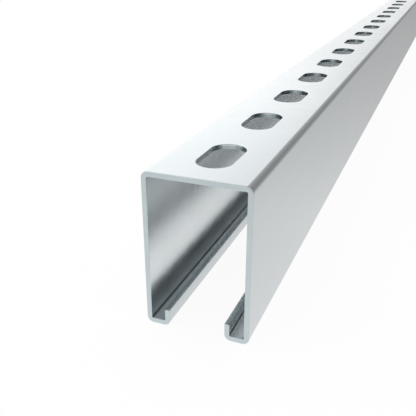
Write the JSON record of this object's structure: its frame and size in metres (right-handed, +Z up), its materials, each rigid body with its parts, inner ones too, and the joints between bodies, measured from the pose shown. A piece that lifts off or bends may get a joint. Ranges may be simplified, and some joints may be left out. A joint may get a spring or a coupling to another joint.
{
  "type": "strut channel",
  "caption": "Deep slotted steel strut channel: one roll-formed C section with inturned lips along an open mouth and a row of obround slots down the web.",
  "frame": {"origin": "midway along the stock, centred between the side walls, on the plane of the flanges' outer faces, which the length rests on", "axes": "+Y along the stock, +Z up from the open mouth to the slotted web, +X across the section"},
  "size_m": [0.041, 1, 0.062],
  "materials": {
    "galvanised_steel": "pre-galvanised strip, smooth, pale and lightly satin, with bare cut edges"
  },
  "bodies": {
    "root": {"strut_channel": "galvanised_steel"}
  },
  "joints": []
}
